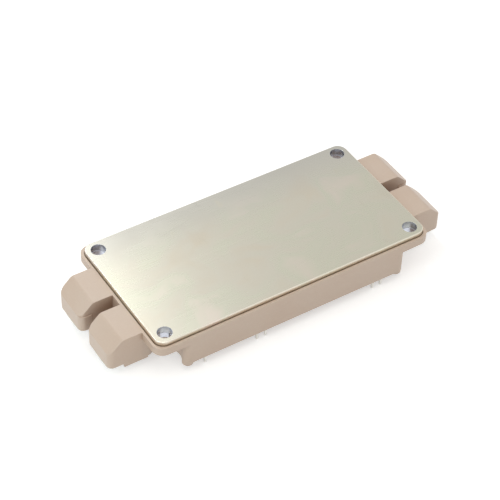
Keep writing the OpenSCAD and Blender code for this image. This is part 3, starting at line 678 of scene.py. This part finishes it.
def make_baseplate():
    """The plate, with a lighter rim and side walls all round, partly rubbed nickel and partly a painted
    highlight, and fine rims on its holes.
    """
    made = welded("baseplate")
    far_x, far_y = OUTLINE_X * PLATE_HIGH.x, OUTLINE_Y * PLATE_HIGH.y
    rims = corners(made, RIM_ANGLE)
    outer = [e for e in rims if abs(middle_mm(e).x) > far_x or abs(middle_mm(e).y) > far_y]
    holes = [e for e in rims if e not in set(outer)]
    # Upright faces take the bore nickel at the holes, and elsewhere the lighter rim nickel, partly a painted
    # highlight
    for face in made.faces:
        if is_upright(face):
            face.material_index = BORE if any(e in set(holes) for e in face.edges) else RUBBED_AND_HIGHLIT
    round_off(made, holes, PLATE_HOLE_EDGE, slot=BORE)
    round_off(made, [e for e in outer if e.is_valid], PLATE_EDGE, PLATE_ROWS)
    finish_piece(made, "baseplate_plate", "baseplate")


def make_pin(node, name):
    """Punched pin with softened edges."""
    made = welded(node)
    round_off(made, corners(made), PUNCHED_EDGE)
    finish_piece(made, name, node)


def make_bush(node, name):
    """Sleeve rolled from sheet steel, with its seam towards the middle of the module."""
    low, high = box_mm(node)
    middle, outer = (low + high) / 2, (high.x - low.x) / 2
    seam = math.atan2(-middle.y, -middle.x)
    profile = ((BUSH_BORE_R, low.z), (outer, low.z), (outer, high.z), (BUSH_BORE_R, high.z))
    made = bmesh.new()
    rings = []
    for step in range(BUSH_STEPS + 1):
        angle = seam + BUSH_SEAM_ANGLE / 2 + (2 * math.pi - BUSH_SEAM_ANGLE) * step / BUSH_STEPS
        out = Vector((math.cos(angle), math.sin(angle), 0))
        rings.append([made.verts.new((Vector((middle.x, middle.y, z)) + out * r) * MM) for r, z in profile])
    for one, other in zip(rings, rings[1:]):
        for k in range(len(profile)):
            after = (k + 1) % len(profile)
            made.faces.new((one[k], other[k], other[after], one[after]))
    made.faces.new(rings[0])
    made.faces.new(reversed(rings[-1]))
    bmesh.ops.recalc_face_normals(made, faces=made.faces)
    round_off(made, corners(made), BUSH_EDGE)
    finish_piece(made, name, node)


def thread_radius(angle, height, low, high):
    """Radius of the threaded bore between two heights, with a countersunk mouth at both."""
    turn = (height / THREAD_PITCH - angle / (2 * math.pi)) % 1.0
    groove = NUT_CORE_R + THREAD_DEPTH * (1 - abs(2 * turn - 1))
    mouth = NUT_CORE_R + THREAD_DEPTH - min(height - low, high - height)
    return max(groove, mouth)


def make_nut(node, name):
    """Hexagon nut with softened corners and a real thread in place of the plain bore."""
    low, high = box_mm(node)
    middle = (low + high) / 2
    made = welded(node)

    def radius(vert):
        return math.hypot(vert.co.x / MM - middle.x, vert.co.y / MM - middle.y)

    def angle(vert):
        return math.atan2(vert.co.y / MM - middle.y, vert.co.x / MM - middle.x)

    rim = [v for v in made.verts if abs(radius(v) - NUT_CORE_R) < ON]
    inside = set(rim)
    wall = [f for f in made.faces if is_upright(f) and all(v in inside for v in f.verts)]
    bmesh.ops.delete(made, geom=wall, context="FACES_KEEP_BOUNDARY")
    round_off(made, [e for e in corners(made) if not inside.issuperset(e.verts)], NUT_EDGE)
    bottom, top = (sorted((v for v in rim if abs(v.co.z / MM - z) < EXACTLY_ON), key=angle)
                   for z in (low.z, high.z))
    angles = [angle(v) for v in bottom]
    steps = round((high.z - low.z) / THREAD_PITCH * RINGS_PER_TURN)
    heights = [low.z + (high.z - low.z) * step / steps for step in range(1, steps)]
    rings = [[made.verts.new((middle.x * MM, middle.y * MM, z * MM)) for _ in angles] for z in heights]
    rings = [bottom, *rings, top]
    for ring in rings:
        for vert, turn in zip(ring, angles):
            out = thread_radius(turn, vert.co.z / MM, low.z, high.z)
            vert.co.x = (middle.x + out * math.cos(turn)) * MM
            vert.co.y = (middle.y + out * math.sin(turn)) * MM
    for one, other in zip(rings, rings[1:]):
        for k in range(len(one)):
            made.faces.new((one[k - 1], other[k - 1], other[k], one[k]))
    bmesh.ops.recalc_face_normals(made, faces=made.faces)
    finish_piece(made, name, node)


def make_strip(node, name):
    """Punched terminal strip with rounded outer corners."""
    made = welded(node)
    end = max(abs(v.co.x) for v in made.verts)
    at_end = [e for e in corners(made) if all(abs(abs(v.co.x) - end) < EXACTLY_ON * MM for v in e.verts)]
    round_off(made, [e for e in at_end if rise_mm(e) > 1], STRIP_CORNER, WIDE_ROWS, FACE)
    round_off(made, corners(made, BENT_EDGE_ANGLE), PUNCHED_EDGE)
    finish_piece(made, name, node)


def add_ejector_tools(tools, bottom, top):
    """Discs that cut the marks of the ejector pins."""
    for place in EJECTOR_PLACES:
        middle = Vector((*place, (bottom + top) / 2)) * MM
        bmesh.ops.create_cone(tools, cap_ends=True, segments=EJECTOR_STEPS, radius1=EJECTOR_R * MM,
                              radius2=EJECTOR_R * MM, depth=(top - bottom) * MM,
                              matrix=Matrix.Translation(middle))


def add_field_tool(tools, bottom, top):
    """Block with rounded corners that cuts the bare field."""
    field = bmesh.ops.create_cube(tools, size=1.0)["verts"]
    for vert in field:
        height = bottom if vert.co.z < 0 else top
        vert.co = Vector((vert.co.x * FIELD_L, vert.co.y * FIELD_W, height)) * MM
    upright = [e for e in tools.edges if e.verts[0] in field and e.verts[1] in field and rise_mm(e) > 0.5]
    bmesh.ops.bevel(tools, geom=upright, offset=FIELD_R * MM, offset_type="OFFSET", segments=FIELD_ROWS,
                    profile=0.5, affect="EDGES")


def carved(made, tools):
    """The bmesh less the tools, which touch neither each other nor its edges."""
    whole, cutter = bpy.data.meshes.new("whole"), bpy.data.meshes.new("cutter")
    made.to_mesh(whole)
    tools.to_mesh(cutter)
    made.free()
    tools.free()
    target, knife = new_object("whole", whole), new_object("knife", cutter)
    cut = target.modifiers.new("cut", "BOOLEAN")
    cut.operation, cut.solver, cut.object = "DIFFERENCE", "EXACT", knife
    result = bmesh.new()
    result.from_object(target, bpy.context.evaluated_depsgraph_get())
    for one in (target, knife):
        bpy.data.objects.remove(one)
    result.normal_update()
    return result


def make_lid():
    """The lid, with the marks of the ejector pins and a bare sunk field on its outer face."""
    made, tools = welded("lid"), bmesh.new()
    round_off(made, corners(made), LID_EDGE)
    add_ejector_tools(tools, LID_LOW.z - TOOL_START, LID_LOW.z + EJECTOR_DEPTH)
    add_field_tool(tools, LID_LOW.z - TOOL_START, LID_LOW.z + FIELD_DEPTH)
    finish_piece(carved(made, tools), "lid_cover", "lid")


def dress_cad_nodes():
    """Gives each carried-over CAD node its material."""
    for node, obj in frame["nodes"].items():
        obj.data.materials.clear()
        obj.data.materials.append(MATERIALS[SLOT_OF[node]][FACE])


# Light, floor and camera

WORLD_COLOUR = (1.0, 0.99, 0.98)
WORLD_LEVEL = 0.60
FLOOR_HALF = 6000
FLOOR_ALBEDO = 0.86
FLOOR_GLOW = 0.45

# Soft lights. A radiance of 1 is white
PANELS = {
    "window": {"place": (80, 470, 577), "aim": (80, 0, 20), "size": (80, 420), "radiance": 9.3,
               "colour": (0.97, 1.0, 1.0)},
    "side_fill": {"place": (-420, -60, 300), "aim": (0, 0, 15), "size": (300, 300), "radiance": 1.6,
                  "colour": (0.80, 0.97, 1.0)},
    "top_fill": {"place": (-150, -250, 700), "aim": (0, 0, 15), "size": (500, 300), "radiance": 1.6,
                 "colour": (1.0, 0.93, 0.82)},
}


def seen_directly(tree):
    """1 for rays from the camera and for those that mirror or pass through, and 0 for diffuse light."""
    rays = add(tree, "LightPath").outputs
    seen = calc(tree, "MAXIMUM", rays["Is Camera Ray"], rays["Is Glossy Ray"])
    return calc(tree, "MAXIMUM", seen, rays["Is Transmission Ray"])


def make_world():
    """White to the camera and in reflections, and a little dimmer as light on the object."""
    world = bpy.data.worlds.new("studio")
    bpy.context.scene.world = world
    world.use_nodes = True
    tree = world.node_tree
    tree.nodes.clear()
    light = add(tree, "Background", {"Color": rgb(WORLD_COLOUR), "Strength": WORLD_LEVEL})
    white = add(tree, "Background", {"Color": rgb((1.0, 1.0, 1.0)), "Strength": 1.0})
    mix = add(tree, "MixShader", {0: seen_directly(tree), 1: light.outputs[0], 2: white.outputs[0]})
    add(tree, "OutputWorld", {"Surface": mix.outputs[0]})


def make_floor():
    """Pale floor. It looks white to the camera, but keeps the shadow of the object."""
    mesh = bpy.data.meshes.new("floor")
    half = FLOOR_HALF * MM
    square = [(-half, -half, 0), (half, -half, 0), (half, half, 0), (-half, half, 0)]
    mesh.from_pydata(square, [], [(0, 1, 2, 3)])
    floor = new_object("floor", mesh)
    paint = bpy.data.materials.new("floor_paint")
    paint.use_nodes = True
    tree = paint.node_tree
    tree.nodes.clear()
    matt = add(tree, "BsdfDiffuse", {"Color": rgb((FLOOR_ALBEDO,) * 3)})
    glow = add(tree, "Emission", {"Strength": calc(tree, "MULTIPLY", seen_directly(tree), FLOOR_GLOW)})
    both = add(tree, "AddShader", {0: matt.outputs[0], 1: glow.outputs[0]})
    add(tree, "OutputMaterial", {"Surface": both.outputs[0]})
    mesh.materials.append(paint)


def make_panel(name, place, aim, size, radiance, colour):
    """Soft panel light of an even radiance."""
    lamp = bpy.data.lights.new(name, "AREA")
    lamp.shape = "RECTANGLE"
    lamp.size, lamp.size_y = size[0] * MM, size[1] * MM
    lamp.energy = radiance * math.pi * lamp.size * lamp.size_y
    lamp.color = colour
    panel = new_object(name, lamp)
    panel.location = Vector(place) * MM
    panel.rotation_mode = "QUATERNION"
    panel.rotation_quaternion = (Vector(aim) - Vector(place)).to_track_quat("-Z", "Y")


def make_camera():
    lens = bpy.data.cameras.new("camera")
    lens.lens = CAMERA_LENS
    lens.sensor_width = CAMERA_SENSOR
    lens.clip_start, lens.clip_end = CAMERA_NEAR * MM, CAMERA_FAR * MM
    camera = new_object("camera", lens)
    camera.location = CAMERA_AT * MM
    camera.rotation_mode = "QUATERNION"
    level = (CAMERA_AIM - CAMERA_AT).to_track_quat("-Z", "Y")
    camera.rotation_quaternion = level @ Quaternion((0, 0, 1), math.radians(CAMERA_ROLL))
    bpy.context.scene.camera = camera


make_camera()
make_world()
make_floor()
for name, panel in PANELS.items():
    make_panel(name, **panel)
bpy.context.scene.view_settings.view_transform = "Standard"

dress_cad_nodes()
make_housing()
make_baseplate()
make_lid()
for number in range(1, 5):
    make_bush(f"bush_{number}", f"bush_sleeve_{number}")
    make_nut(f"terminal_nut_{number}", f"nut_body_{number}")
for node in ("terminal_dc_plus", "terminal_dc_minus", "terminal_ac_1", "terminal_ac_2"):
    make_strip(node, node + "_strip")
for node in sorted(frame["nodes"]):
    if "_pin_" in node:
        make_pin(node, node + "_blade")
